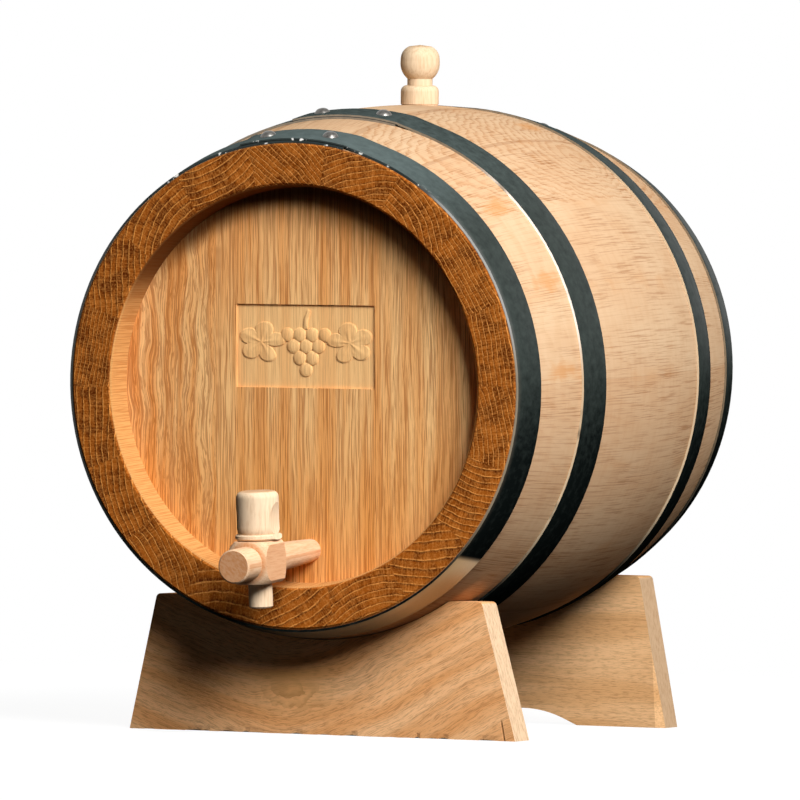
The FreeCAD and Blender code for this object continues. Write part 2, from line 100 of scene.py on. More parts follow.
# %% [markdown]
# ## The camera
#
# A long lens from almost four metres away, a little to the right of the tap and only half a degree
# above the level, as a table-top catalogue view is taken. The lens keeps the circles of the cask
# nearly free of perspective. A tracking constraint could aim it, but leaves out the slight roll.
# Three directions at right angles, put into a matrix, do both.

# %% Set up the camera
YAW, PITCH, ROLL = (math.radians(a) for a in (23.761, 0.503, 0.876))
CAMERA_SPOT = (1.534777, -3.466377, 0.168354)
LENS = 417.15

backwards = Vector((math.sin(YAW) * math.cos(PITCH), -math.cos(YAW) * math.cos(PITCH), math.sin(PITCH)))
level_right = Vector((math.cos(YAW), math.sin(YAW), 0))
level_up = backwards.cross(level_right)
right = level_right * math.cos(ROLL) + level_up * math.sin(ROLL)
up = level_up * math.cos(ROLL) - level_right * math.sin(ROLL)

camera = bpy.data.objects.new("camera", bpy.data.cameras.new("camera"))
bpy.context.scene.collection.objects.link(camera)
bpy.context.scene.camera = camera
camera.data.sensor_width = 36.0
camera.data.lens = LENS
camera.data.clip_end = 50.0
turned = Matrix((right, up, backwards)).transposed().to_4x4()
camera.matrix_world = Matrix.Translation(CAMERA_SPOT) @ turned
bpy.context.scene.view_settings.view_transform = "Standard"
print("camera at", tuple(round(v, 3) for v in camera.location))

# %% [markdown]
# ## Writing a finish as expressions
#
# A finish made of nodes is a sum in disguise. Wiring each Math node by hand hides the sum, so a
# small class wraps one output of a node and lets Python's own signs add the nodes: `1 - mask`
# makes a Subtract node. Colours and places go through Vector Math and Mix, because a Math node
# would turn them grey.

# %% Wires
class Wire:
    """One output of a shader node, which takes part in sums."""

    def __init__(self, nodes, socket):
        self.nodes = nodes
        self.socket = socket

    def __add__(self, other):
        return self.nodes.maths("ADD", self, other)

    def __sub__(self, other):
        return self.nodes.maths("SUBTRACT", self, other)

    def __mul__(self, other):
        return self.nodes.maths("MULTIPLY", self, other)

    def __truediv__(self, other):
        return self.nodes.maths("DIVIDE", self, other)

    def __radd__(self, other):
        return self.nodes.maths("ADD", other, self)

    def __rsub__(self, other):
        return self.nodes.maths("SUBTRACT", other, self)

    def __rmul__(self, other):
        return self.nodes.maths("MULTIPLY", other, self)

    def __pow__(self, other):
        return self.nodes.maths("POWER", self, other)

    def __abs__(self):
        return self.nodes.maths("ABSOLUTE", self)


def manifold(value):
    """Whether a value has three parts, as a colour or a place has."""
    if isinstance(value, Wire):
        return value.socket.type != "VALUE"
    return isinstance(value, tuple)


print("three parts in a tuple:", manifold((0.0, 0.0, 0.0)), "and in a number:", manifold(0.0))

# %% [markdown]
# ## One method for every node
#
# Every node that isn't a sum comes from one method, which takes the node's type, its settings and
# then its values or links, so a new kind of node needs no new code. The few that are wanted all the
# time, such as a blend or a noise, get a short name on top of it. The world's light is made of
# nodes too, so these methods work on any tree, and a finish adds only the material and the
# closing shader. That shader has no mirror layer of its own, because dry wood has hardly any, and
# its bump takes a height in millimetres.

# %% Trees of nodes and finishes
class Nodes:
    """A tree of nodes that is written as expressions."""

    def __init__(self, owner):
        owner.use_nodes = True
        self.tree = owner.node_tree
        self.tree.nodes.clear()

    def node(self, kind, settings=None, values=(), out=0):
        """Adds a node of that kind, and gives the wire of its named or numbered output."""
        made = self.tree.nodes.new("ShaderNode" + kind)
        for name, setting in (settings or {}).items():
            setattr(made, name, setting)
        pairs = values.items() if isinstance(values, dict) else enumerate(values)
        for key, value in pairs:
            socket = made.inputs[key]
            if isinstance(value, Wire):
                self.tree.links.new(value.socket, socket)
            elif socket.type == "RGBA" and len(value) == 3:
                socket.default_value = (*value, 1.0)
            else:
                socket.default_value = value
        return Wire(self, made.outputs[out]) if made.outputs else None

    def maths(self, operation, *values):
        """A Math node, or a Vector Math node as soon as one of the values has three parts."""
        if any(manifold(v) for v in values):
            values = [v if isinstance(v, (Wire, tuple)) else (v, v, v) for v in values]
            return self.node("VectorMath", {"operation": operation}, values)
        return self.node("Math", {"operation": operation}, values)

    def blend(self, mask, low, high):
        """low where mask is 0, high where it is 1."""
        if manifold(low) or manifold(high):
            return self.node("Mix", {"data_type": "RGBA"}, {0: mask, 6: low, 7: high}, out=2)
        return self.node("Mix", {"data_type": "FLOAT"}, {0: mask, 2: low, 3: high})

    def rise(self, value, low, high):
        """0 up to low, 1 from high, and smooth between."""
        return self.node("MapRange", {"interpolation_type": "SMOOTHSTEP"}, [value, low, high, 0.0, 1.0])

    def noise(self, place, detail=2.0, roughness=0.5):
        """A cloudy value about 0.5. A place in millimetres times 0.1 gives clouds some 10 mm across."""
        values = {"Vector": place, "Scale": 1.0, "Detail": detail, "Roughness": roughness}
        return self.node("TexNoise", {}, values)

    def parts(self, place):
        """The three numbers of a place."""
        made = self.node("SeparateXYZ", {}, [place])
        return [Wire(self, out) for out in made.socket.node.outputs]

    def place(self, x, y, z):
        return self.node("CombineXYZ", {}, [x, y, z])


class Finish(Nodes):
    """A material for one kind of surface."""

    def __init__(self, name):
        self.material = bpy.data.materials.new(name)
        super().__init__(self.material)

    def surface(self, values, height, relief):
        """The shader itself. height is in millimetres, and relief makes it count for more or less."""
        bump = {"Strength": relief, "Distance": 0.001, "Height": height}
        values = {"Specular IOR Level": 0.0, **values, "Normal": self.node("Bump", {}, bump)}
        self.node("OutputMaterial", {}, [self.node("BsdfPrincipled", {}, values)])
        return self.material


print("a finish knows how to", ", ".join(name for name in vars(Nodes) if not name.startswith("_")))

# %% [markdown]
# ## Colours from a chart
#
# Colours are easy to choose from 0 to 255, as a colour chart gives them. Shaders want the amount of
# light instead, and the chart's steps are far from even in light. This is numbers alone, so
# it is worked out in Python and needs no nodes.

# %% Colours
def tint(red, green, blue):
    """A colour as a colour chart gives it, from 0 to 255, as the light values that shaders use."""
    parts = (red / 255, green / 255, blue / 255)
    return tuple(p / 12.92 if p <= 0.04045 else ((p + 0.055) / 1.055) ** 2.4 for p in parts)


print("a grey of 128 gives back %.0f percent of the light" % (100 * tint(128, 128, 128)[0]))

# %% [markdown]
# ## Rounded edges
#
# No steel strip or sawn block has a perfectly sharp edge, and the thin line of light that a rounded
# edge catches tells the eye what it is made of. The solids themselves have to stay as they
# are, so each hoop and block gets a copy that rides with the same body and stands for it. Solids
# come as triangles, and a bevel would run along every one of them. So the flat parts are
# joined first, and then only the sharp edges are bevelled.

# %% Copies with rounded edges
HOOPS = ["front_head_hoop", "front_quarter_hoop", "rear_quarter_hoop", "rear_head_hoop"]
BLOCKS = ["cradle_front", "cradle_rear"]
HOOP_ROUNDING = 0.45
BLOCK_ROUNDING = 0.8
FLAT = math.radians(0.4)
SHARP = math.radians(35.0)


def softened(node, width):
    """A copy of a solid with its sharp edges rounded by that width in millimetres."""
    mesh = frame["nodes"][node].data.copy()
    made = bpy.data.objects.new(node + "_softened", mesh)
    bpy.context.scene.collection.objects.link(made)
    shape = bmesh.new()
    shape.from_mesh(mesh)
    bmesh.ops.remove_doubles(shape, verts=shape.verts, dist=1e-6)
    bmesh.ops.dissolve_limit(shape, angle_limit=FLAT, verts=shape.verts, edges=shape.edges)
    sharp = [e for e in shape.edges if len(e.link_faces) == 2 and e.calc_face_angle() > SHARP]
    bmesh.ops.bevel(shape, geom=sharp, offset=width / 1000, segments=2, profile=0.5, affect="EDGES",
                    clamp_overlap=True)
    shape.to_mesh(mesh)
    shape.free()
    return made


STANDING = {}
for node in HOOPS + BLOCKS:
    piece = softened(node, BLOCK_ROUNDING if node in BLOCKS else HOOP_ROUNDING)
    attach(piece, "stand" if node in BLOCKS else "cask")
    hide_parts(node)
    STANDING[node] = piece
    print(node, len(piece.data.polygons), "faces")

# %% [markdown]
# ## The torn edge of the front block
#
# A saw tears fibres out of the edge where it leaves the wood, and the lower front edge of the front
# block shows it. A bump can't break an outline, so the edge itself is cut into short
# lengths at uneven spacing, and each cut is pushed in and up by a little. Cubing the random
# depth makes most tears slight and a few deep.

# %% Tear the edge
TEAR_SPACING = 0.0026
TEAR_DEPTH = 0.0006
TORN_STRIP = 0.0022
EDGE_ZONE = 0.001


def cut_across(shape, spot, way):
    """Divides every face that a plane meets."""
    parts = list(shape.verts) + list(shape.edges) + list(shape.faces)
    bmesh.ops.bisect_plane(shape, geom=parts, plane_co=spot, plane_no=way)


def torn(piece, seed):
    """Tears the front lower edge of a sawn block, always inwards and up, and counts the cuts."""
    shape = bmesh.new()
    shape.from_mesh(piece.data)
    first = min(v.co.x for v in shape.verts)
    last = max(v.co.x for v in shape.verts)
    front = min(v.co.y for v in shape.verts)
    chance = random.Random(seed)
    cut_across(shape, (0, 0, TORN_STRIP), (0, 0, 1))
    cut_across(shape, (0, front + TORN_STRIP, 0), (0, 1, 0))
    at = first + TEAR_SPACING
    while at < last - TEAR_SPACING:
        cut_across(shape, (at, 0, 0), (1, 0, 0))
        at += TEAR_SPACING * chance.uniform(0.5, 1.5)
    tears = {}
    for vertex in shape.verts:
        on_edge = vertex.co.z < EDGE_ZONE and vertex.co.y < front + EDGE_ZONE
        if on_edge and first + TEAR_SPACING / 2 < vertex.co.x < last - TEAR_SPACING / 2:
            place = round(vertex.co.x, 5)
            if place not in tears:
                tears[place] = TEAR_DEPTH * chance.random() ** 3
            vertex.co.z += tears[place]
            vertex.co.y += tears[place]
    shape.to_mesh(piece.data)
    shape.free()
    return len(tears)


print(torn(STANDING["cradle_front"], seed=4), "cuts in the torn edge")

# %% [markdown]
# ## Floor and backdrop
#
# The cask stands on a plain pale floor in a white room. More light on the wood would bleach it, so
# the white comes from the floor and the world themselves, by Light Path: they are white to the
# camera, and dim to the wood. Near the blocks the floor glows a little under white and the
# lamps make up the rest, which keeps the blocks' soft shadow. Farther off it is plain white.

# %% Floor
FLOOR_REACH = 3.0
KEPT_SHADOW = 0.14
LAMPS_ON_FLOOR = 0.7
SHADOW_FADES = (0.3, 0.7)
WHITE = (1.0, 1.0, 1.0)


def seen_straight(nodes):
    """1 for a ray from the camera, a mirror or a clear body, 0 for one that only carries light."""
    seen = nodes.node("LightPath", out="Is Camera Ray")
    mirrored = nodes.node("LightPath", out="Is Glossy Ray")
    through = nodes.node("LightPath", out="Is Transmission Ray")
    return nodes.maths("MAXIMUM", seen, nodes.maths("MAXIMUM", mirrored, through))


floor_mesh = bpy.data.meshes.new("floor")
corners = [(x * FLOOR_REACH, y * FLOOR_REACH, 0) for x, y in ((-1, -1), (1, -1), (1, 1), (-1, 1))]
floor_mesh.from_pydata(corners, [], [(0, 1, 2, 3)])
floor = bpy.data.objects.new("floor", floor_mesh)
bpy.context.scene.collection.objects.link(floor)

paper = Finish("floor_paper")
spot = paper.node("TexCoord", out="Object")
away = paper.node("VectorMath", {"operation": "LENGTH"}, [spot], out="Value")
matt = paper.node("BsdfDiffuse", {}, {"Color": tint(48, 47, 46)})
white = paper.node("Emission", {}, {"Color": WHITE})
glow = paper.node("Emission", {}, {"Color": WHITE, "Strength": 1.0 - KEPT_SHADOW * LAMPS_ON_FLOOR})
lit = paper.node("BsdfDiffuse", {}, {"Color": (KEPT_SHADOW, KEPT_SHADOW, KEPT_SHADOW)})
shaded = paper.node("AddShader", {}, [glow, lit])
pale = paper.node("MixShader", {}, [paper.rise(away, *SHADOW_FADES), shaded, white])
paper.node("OutputMaterial", {}, [paper.node("MixShader", {}, [seen_straight(paper), matt, pale])])
floor_mesh.materials.append(paper.material)
print("floor", FLOOR_REACH * 2, "m across")

# %% World
FILL = 0.01

world = bpy.data.worlds.new("studio")
bpy.context.scene.world = world
sky = Nodes(world)
fill = sky.node("Background", {}, {"Color": WHITE, "Strength": FILL})
bright = sky.node("Background", {}, {"Color": WHITE, "Strength": 1.0})
sky.node("OutputWorld", {}, [sky.node("MixShader", {}, [seen_straight(sky), fill, bright])])
print("the world lights the cask with", FILL, "of the white that it shows")

# %% [markdown]
# ## Lamps
#
# One large soft lamp stands high on the right in front, so the rim shades the top of the recessed
# head. A weak one fills the right side. The third lights the left and the rear, and is kept out of
# mirror images, so the hoops don't flash. A lamp's watts alone don't say how light the wood
# gets, because that falls with the square of the distance. So each lamp is asked for by the
# light that arrives at the cask, and its watts follow.

# %% Place the lamps
def lamp(name, towards, distance, size, arriving):
    """A soft lamp that gives that much light, in watts per square metre, at the cask."""
    light = bpy.data.lights.new(name, "AREA")
    light.shape = "RECTANGLE"
    light.size = size
    light.size_y = size
    light.energy = arriving * math.pi * distance ** 2
    made = bpy.data.objects.new(name, light)
    bpy.context.scene.collection.objects.link(made)
    direction = Vector(towards).normalized()
    made.location = CASK_MIDDLE + direction * distance
    made.rotation_euler = direction.to_track_quat("Z", "Y").to_euler()
    print(name, "%.1f W at" % light.energy, tuple(round(v, 2) for v in made.location))
    return made


lamp("key_lamp", towards=(1.04, -1.0, 0.9), distance=1.7, size=0.8, arriving=4.7)
lamp("side_lamp", towards=(1.0, -0.12, 0.8), distance=1.7, size=0.8, arriving=0.8)
back_lamp = lamp("back_lamp", towards=(-0.75, 1.0, 0.35), distance=1.8, size=0.9, arriving=3.0)
back_lamp.visible_glossy = False

# %% [markdown]
# ## Oak, from the tree outwards
#
# A plank shows rings, pores and rays in patterns that depend on how it lay in the trunk. Drawing
# each face by hand would never meet at the edges. Instead each piece is given a pith, the middle
# of the trunk that it was sawn from, and every point gets three numbers: how far it is from
# the pith, how far round, and how far along. Rings depend on the first, rays run along it, and
# pores are long and thin in the third. End grain and side grain then follow from the solid itself.

# %% Grain coordinates
def cask_place(finish):
    """Where a point of the surface is on the cask, in millimetres."""
    there = (finish.node("TexCoord", out="Object") - tuple(CASK_MIDDLE)) * 1000.0
    return finish.node("VectorRotate", {"rotation_type": "X_AXIS"}, {"Vector": there, "Angle": -LEAN})


def trunk(finish, across, through, along, pith, wander=(6.0, 0.5), seed=0.0):
    """Distance from the pith, distance round it and distance along the trunk, in millimetres. wander
    is how far the rings stray, over a hand's breadth and over a few rings."""
    spot = finish.place(across + seed, through + seed * 0.7, along)
    slow = finish.noise(spot * (0.03, 0.03, 0.012), 2.0) - 0.5
    quick = finish.noise(spot * (0.22, 0.22, 0.05), 2.0) - 0.5
    side = across - pith[0]
    high = through - pith[1]
    out = (side * side + high * high) ** 0.5
    out = out + slow * (2 * wander[0]) + quick * (2 * wander[1])
    far = max(math.hypot(*pith), 10.0)
    round_it = finish.maths("ARCTAN2", side, high) * far
    return finish.place(out, round_it, along)


def ring_age(finish, grain, gap):
    """0 at the start of a year's ring and 1 at its end, from the pith outwards."""
    return finish.maths("FRACT", finish.parts(grain)[0] / gap)


def facing(finish, direction):
    """How squarely a surface faces a direction: 1 straight at it, 0 edge on, -1 away."""
    normal = finish.node("NewGeometry", out="Normal")
    return finish.node("VectorMath", {"operation": "DOT_PRODUCT"}, [normal, direction], out="Value")


print("grain coordinates ready")

# %% [markdown]
# ## Staves
#
# Outside, the staves are sanded pale oak, dry and matt. The pores show as short dark hairlines along
# the cask, in drifts, and the planed wood has faint bands across it. The ends and the inside of the
# rim were oiled with the head, so the end grain has gone orange-brown with thin light ring
# lines. One pattern wrapped round the whole cask would run on over the joints, and the change of
# grain at each joint is what the eye reads as a cask. So one function makes a finish for any
# stave, and gets where its trunk's pith lay, how wide the rings are and how warm its tone is.

# %% Tones of the staves
STAVE_MIDDLE = (MOUTH + BILGE) / 2 - 4
JOINT = math.tan(math.pi / len(STAVES))
CROZE_DEPTH = 14.0

PALE_OAK = tint(214, 181, 145)
TAN_OAK = tint(198, 154, 114)
HAIR_OAK = tint(152, 102, 64)
STAIN_OAK = tint(204, 142, 84)
UNDERSIDE_SHADE = tint(134, 96, 66)
END_DARK = tint(94, 40, 8)
END_MIDDLE = tint(166, 88, 24)
END_LIGHT = tint(230, 154, 76)
WALL_OAK = tint(222, 166, 102)
WALL_SHADOW = tint(92, 48, 18)
print("half a stave's width is %.3f of its distance from the axis" % JOINT)

# %% [markdown]
# ### The oiled end
#
# On an end the rings are arcs. Each starts with a porous band, which drinks the oil and goes
# darkest, and ends in dense wood, which stays light: that is the thin line. Rays cross the rings
# as short light strokes. Noise stretched round the pith breaks the lines, and noise
# stretched away from it draws the rays.

# %% End grain
def stave_end(f, grain, age, spot, blotch, z):
    """The colour of the end grain, and how much of a ring line there is at a point."""
    grit = f.noise(spot * 1.5, 2.0)
    strand = f.noise(grain * (0.35, 0.9, 0.1), 2.0)
    rays = f.rise(f.noise(grain * (0.2, 1.9, 0.3), 2.0, 0.6), 0.48, 0.62)
    line = f.rise(abs(age - 0.5) * 2, 0.76, 0.96) * (f.rise(strand, 0.32, 0.62) * 0.65 + 0.25)
    porous = f.rise(age, 0.4, 0.14) * 0.6
    low_down = f.rise(z, 10.0, -90.0) * 0.3
    dry = f.rise(blotch, 0.36, 0.6) * 0.7 + rays * 0.3 + low_down - porous
    end = f.blend(dry, END_DARK, END_MIDDLE)
    end = f.blend(f.rise(grit, 0.42, 0.72) * 0.3 + rays * 0.16, end, END_LIGHT)
    return f.blend(line, end, END_LIGHT), line


print("end grain ready")

# %% [markdown]
# ### Eyes and rust
#
# Where a branch left the trunk, the rings close round its foot in an eye. Rings are the contour
# lines of the distance from the pith, so a small hill added to that distance bends them into
# an eye, and some noise keeps them ragged. Where a hoop has rusted, iron has soaked into the oak
# beside it: a soft blot, longer along the grain, whose edge is broken by the pores.

# %% Eyes and rust
def branch_hill(f, spot, across, y, foot):
    """What the foot of a branch adds to the distance from the pith, in millimetres."""
    aside = (across - foot[0]) * 1.6
    ahead = y - foot[1]
    ragged = f.noise(spot * 0.13, 3.0, 0.6) - 0.5
    return (aside * aside + ahead * ahead + 9.0) ** 0.5 * 0.4 + ragged * 5.5


def rust_blot(f, across, y, rough, middle):
    """How far rust has soaked in round a spot on the stave, 5 mm wide and 13 mm long."""
    sideways = (across - middle[0]) / 5.0
    lengthways = (y - middle[1]) / 13.0
    blot = f.maths("EXPONENT", (sideways * sideways + lengthways * lengthways) * -1.0)
    return f.rise(blot + rough, 0.25, 1.0) * 0.6


print("eyes and rust ready")

# %% [markdown]
# ### A whole stave
#
# The end, the outside and the oiled inside of the rim are told apart by how far along the cask and
# how far from its axis a point is. Late wood is browner, so the rings show outside as well
# wherever the saw met them at a flat angle. Oil and rust have crept along the joints, and each joint
# is a thin dark line. The underside is painted darker, a painted shade under the cask, and high up
# the inside of the rim is painted almost black, a painted shadow of the rim above the head.

# %% The stave finish
def stave_oak(name, hour, lean, pith_distance, gap, brown, figure, rust, seed, branch=None):
    """hour is the clock angle of the stave's middle. lean is the direction of the pith as seen on the
    front end, 0 outwards and 90 clockwise, in degrees. brown is how far its outside is from pale to
    tan, figure how plainly its rings show there, and rust and branch are where it has a rust spot and
    the foot of a branch, across and along."""
    f = Finish(name)
    level = cask_place(f)
    x, y, z = f.parts(level)
    turned = {"Vector": level, "Angle": -math.radians(hour)}
    across, along, out = f.parts(f.node("VectorRotate", {"rotation_type": "Y_AXIS"}, turned))
    through = out - STAVE_MIDDLE
    pith = (pith_distance * math.sin(math.radians(lean)), pith_distance * math.cos(math.radians(lean)))
    grain = trunk(f, across, through, along, pith, (2.6, 0.6), seed)
    age = ring_age(f, grain, gap)
    radius = (x * x + z * z) ** 0.5
    spot = f.place(across + seed, through, along)
    blotch = f.noise(spot * 0.13, 3.0)
    end, line = stave_end(f, grain, age, spot, blotch, z)

    # the outside
    hair = f.noise(f.place(across / out * BILGE + seed, 0.0, along) * (1.7, 1.7, 0.035), 3.0, 0.65)
    drift = f.rise(f.noise(spot * (0.08, 0.08, 0.02), 2.0), 0.35, 0.62)
    band = f.noise(spot * (0.06, 0.06, 0.3), 2.0)
    slow = f.noise(spot * (0.05, 0.05, 0.016), 2.0)
    from_pith = f.parts(grain)[0]
    if branch:
        from_pith = from_pith + branch_hill(f, spot, across, y, branch)
    late = f.rise(f.maths("FRACT", from_pith / gap), 0.4, 1.0)
    rings = late * figure * (f.rise(hair, 0.4, 0.6) * 0.6 + 0.4)
    tone = f.rise(slow, 0.3, 0.7) * 0.35 + f.rise(band, 0.46, 0.6) * 0.12 + rings + brown
    side = f.blend(tone, PALE_OAK, TAN_OAK)
    pores = drift * 0.34 + brown * 0.5 + rings * 0.3 + 0.12
    side = f.blend(f.rise(hair, 0.5, 0.62) * pores, side, HAIR_OAK)

    # what has soaked in, the dark line of the joint and the painted shade of the underside
    beside = abs(across) / out
    crept = f.rise(f.noise(spot * (0.1, 0.1, 0.05), 2.0), 0.5, 0.66)
    soaked = f.rise(beside, JOINT * 0.68, JOINT * 0.987) * crept * 0.18
    if rust:
        soaked = f.maths("MAXIMUM", soaked, rust_blot(f, across, y, (hair + blotch - 1.0) * 1.6, rust))
    side = f.blend(soaked, side, STAIN_OAK)
    side = f.blend(f.rise(beside, JOINT - 0.0011, JOINT - 0.0001) * 0.3, side, HAIR_OAK)
    # painted shade: the outside goes darker towards the bottom of the cask
    side = f.blend(f.rise(z, -62.0, -106.0) * 0.6, side, UNDERSIDE_SHADE)

    # the oiled inside of the rim, with a painted shadow high up
    wall = f.blend(f.rise(hair, 0.44, 0.6) * 0.5, WALL_OAK, END_MIDDLE)
    # painted shadow: the wall goes almost black high up, where the rim shades it
    wall = f.blend(f.rise(z, 24.0, 48.0) * 0.9, wall, WALL_SHADOW)
    near_end = f.rise(abs(y), HALF_LENGTH - CROZE_DEPTH - 1.0, HALF_LENGTH - CROZE_DEPTH)
    on_wall = f.rise(radius, MOUTH + 1.6, MOUTH + 0.6) * near_end
    on_end = f.rise(abs(y), HALF_LENGTH - 1.0, HALF_LENGTH - 0.4)
    colour = f.blend(on_end, f.blend(on_wall, side, wall), end)

    oiled = f.maths("MAXIMUM", on_end, on_wall)
    gloss = f.blend(oiled, 0.66, 0.46) + hair * 0.1
    height = hair * -0.08 + line * on_end * 0.12 + rings * 0.05
    return f.surface({"Base Color": colour, "Roughness": gloss}, height, 0.8)


print("stave finish ready")

# %% [markdown]
# ### The 18 staves
#
# A cooper splits the staves from different logs. So the table gives each stave its own direction and
# distance of the pith, gap between rings, brownness, figure and rust spot, going clockwise from
# the bung as seen from the tap.

# %% Put the staves' finishes on
STAVE_ROWS = [
    (-135, 160, 2.0, 0.00, 0.2, None), (155, 60, 2.4, 0.00, 1.1, (2.0, 32.0)),
    (-158, 45, 2.6, 0.08, 0.9, (12.0, -83.0)), (180, 200, 1.9, 0.04, 0.2, (13.0, -80.0)),
    (180, 220, 2.1, 0.00, 0.15, (14.0, -78.0)), (160, 70, 2.2, 0.3, 0.15, None),
    (-110, 40, 2.6, 0.3, 0.1, None), (-140, 120, 3.4, 0.45, 0.2, None),
    (8, 42, 2.8, 0.4, 0.2, None), (150, 90, 3.0, 0.5, 0.2, None), (-20, 60, 4.2, 0.35, 0.2, None),
    (25, 60, 2.8, 0.0, 0.2, None), (-165, 70, 2.6, 0.2, 0.4, (-12.0, 60.0)),
    (-170, 180, 2.8, 0.1, 0.2, None), (-176, 260, 1.7, 0.0, 0.3, None), (150, 120, 2.6, 0.15, 0.4, None),
    (165, 38, 3.0, 0.0, 0.4, None), (0, 46, 2.8, 0.1, 0.3, None),
]
BRANCHES = {"stave_02": (17.0, 50.0), "stave_03": (-6.0, 24.0)}


def wear(node, material):
    """Gives one solid, or the copy that stands for it, its finish."""
    mesh = (STANDING.get(node) or frame["nodes"][node]).data
    mesh.materials.clear()
    mesh.materials.append(material)


for number, (name, row) in enumerate(zip(STAVES, STAVE_ROWS)):
    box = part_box(name)
    middle = on_cask((box[0] + box[1]) / 2)
    hour = round(math.degrees(math.atan2(middle.x, middle.z)))
    wear(name, stave_oak(name + "_oak", hour, *row, seed=37.0 * number, branch=BRANCHES.get(name)))
    print(name, "at", hour, "degrees")

# %% [markdown]
# ## Head boards
#
# The head is three oiled boards with upright grain. The left one is plain sawn, so its figure
# wanders up the face; the middle one is close to quarter sawn and runs nearly straight, in fine
# dark streaks. Three noises stretched along the board do this: broad tone, streaks and hairlines.
# Oil made the wood redder at the top and soaked in beside the left joint, and the wood is more
# golden towards the foot. The upper corner against the rim is painted almost black, a painted
# shadow of the rim. The sunk rectangle was cut after the oiling, so its floor is paler.

# %% The head finish
LEFT_JOINT = -40.0
PANEL_DEPTH = 0.9

HEAD_LIGHT = tint(254, 206, 142)
HEAD_GOLD = tint(232, 152, 62)
HEAD_TAN = tint(236, 164, 94)
HEAD_AMBER = tint(240, 148, 70)
HEAD_DARK = tint(152, 76, 20)
HEAD_SHADE = tint(66, 32, 12)


def head_oak(name, wander, bands, tone, streaks, seed):
    """wander is how far the figure strays sideways, bands how much light and brown wood take turns, tone
    how brown it is and streaks how strong they are."""
    f = Finish(name)
    x, y, z = f.parts(cask_place(f))
    radius = (x * x + z * z) ** 0.5
    stray = f.noise(f.place(x + seed, y, z * 0.6) * 0.05, 2.0) - 0.5
    spot = f.place(x + seed + stray * (2 * wander), y * 0.6, z)
    broad = f.noise(spot * (0.16, 0.16, 0.008), 2.0)
    streak = f.noise(spot * (1.8, 1.8, 0.018), 2.0, 0.6)
    hair = f.noise(spot * (2.6, 2.6, 0.045), 2.0, 0.6)
    fleck = f.noise(spot * (1.5, 1.5, 0.16), 2.0, 0.6)

    # where the oil went, the painted shadow in the upper corner and the paler floor of the panel
    from_joint = x - LEFT_JOINT
    beside_joint = f.rise(from_joint, -0.2, 0.6) * f.rise(from_joint, 6.0, 1.5)
    patchy = f.rise(f.noise(f.place(0.0, 0.0, z * 0.045), 2.0), 0.44, 0.58)
    soaked = beside_joint * f.rise(z, -22.0, 6.0) * patchy
    in_corner = f.rise(radius, MOUTH - 12.0, MOUTH - 4.0) * f.rise(z, 35.0, 62.0)
    below_face = f.rise(y, HEAD_FACE + 0.03, HEAD_FACE + 0.1)
    on_panel = below_face * f.rise(y, HEAD_FACE + 2.0, HEAD_FACE + 1.5)
    colour = f.blend(f.rise(broad, 0.36, 0.62) * bands + tone, HEAD_LIGHT, HEAD_TAN)
    colour = f.blend(f.rise(z, 10.0, -75.0) * 0.5, colour, HEAD_GOLD)
    colour = f.blend(f.rise(z, 12.0, 70.0) * 0.3, colour, HEAD_AMBER)

    # the dark lines of the grain, of which the strongest wins at each point
    dark = f.rise(streak, 0.5, 0.66) * streaks
    dark = f.maths("MAXIMUM", dark, f.rise(hair, 0.5, 0.6) * 0.6)
    dark = f.maths("MAXIMUM", dark, f.rise(fleck, 0.5, 0.64) * (0.12 * wander))
    dark = f.maths("MAXIMUM", dark, soaked * 0.5)
    colour = f.blend(dark, colour, HEAD_DARK)
    # painted shadow: almost black in the upper corner, where the rim shades the head
    colour = f.blend(in_corner * 0.85, colour, HEAD_SHADE)
    colour = f.blend(on_panel * 0.5, colour, HEAD_LIGHT)
    return f.surface({"Base Color": colour, "Roughness": 0.48 + streak * 0.12}, dark * -0.07, 0.9)


# Each row: wander, bands, tone and streaks of a board, from left to right.
HEAD_BOARDS = [(4.5, 0.9, 0.1, 0.55), (0.8, 0.7, 0.1, 0.5), (1.6, 0.6, 0.0, 0.45)]
REAR_SEED = 7.0
head_oaks = {}
for head in ("front", "rear"):
    for number, board in enumerate(HEAD_BOARDS, 1):
        name = "%s_head_board_%d" % (head, number)
        oak = head_oak(name + "_oak", *board, seed=51.0 * number + (REAR_SEED if head == "rear" else 0.0))
        wear(name, oak)
        head_oaks[name] = oak
print(len(head_oaks), "head boards")

# %% [markdown]
# ## The relief in the sunk rectangle
#
# The rectangle in the front head was cut by a router, which left a raised relief in it. Here it is
# a bunch of berries between two leaves, no higher than the face of the head. Modelling each by
# hand would take three ways of working. But every part of it is a heap of closed rings that
# grow and sink from the floor to a top point, so one helper makes a berry, a leaf and the stalk,
# and the relief wears the same oak as its board.

# %% The sunk panel
floor_level = HEAD_FACE + PANEL_DEPTH
floor_spots = [on_cask(v.co) for v in frame["nodes"]["front_head_board_2"].data.vertices]
floor_spots = [p for p in floor_spots if abs(p.y - floor_level) < 0.05]
FLOOR_LEFT, FLOOR_RIGHT = min(p.x for p in floor_spots), max(p.x for p in floor_spots)
FLOOR_LOW, FLOOR_HIGH = min(p.z for p in floor_spots), max(p.z for p in floor_spots)
PANEL = ((FLOOR_LEFT + FLOOR_RIGHT) / 2, (FLOOR_LOW + FLOOR_HIGH) / 2)
print("sunk panel %.1f by %.1f mm" % (FLOOR_RIGHT - FLOOR_LEFT, FLOOR_HIGH - FLOOR_LOW))

# %% Heaps and outlines
SUNK = 0.08
PEAK = 0.04


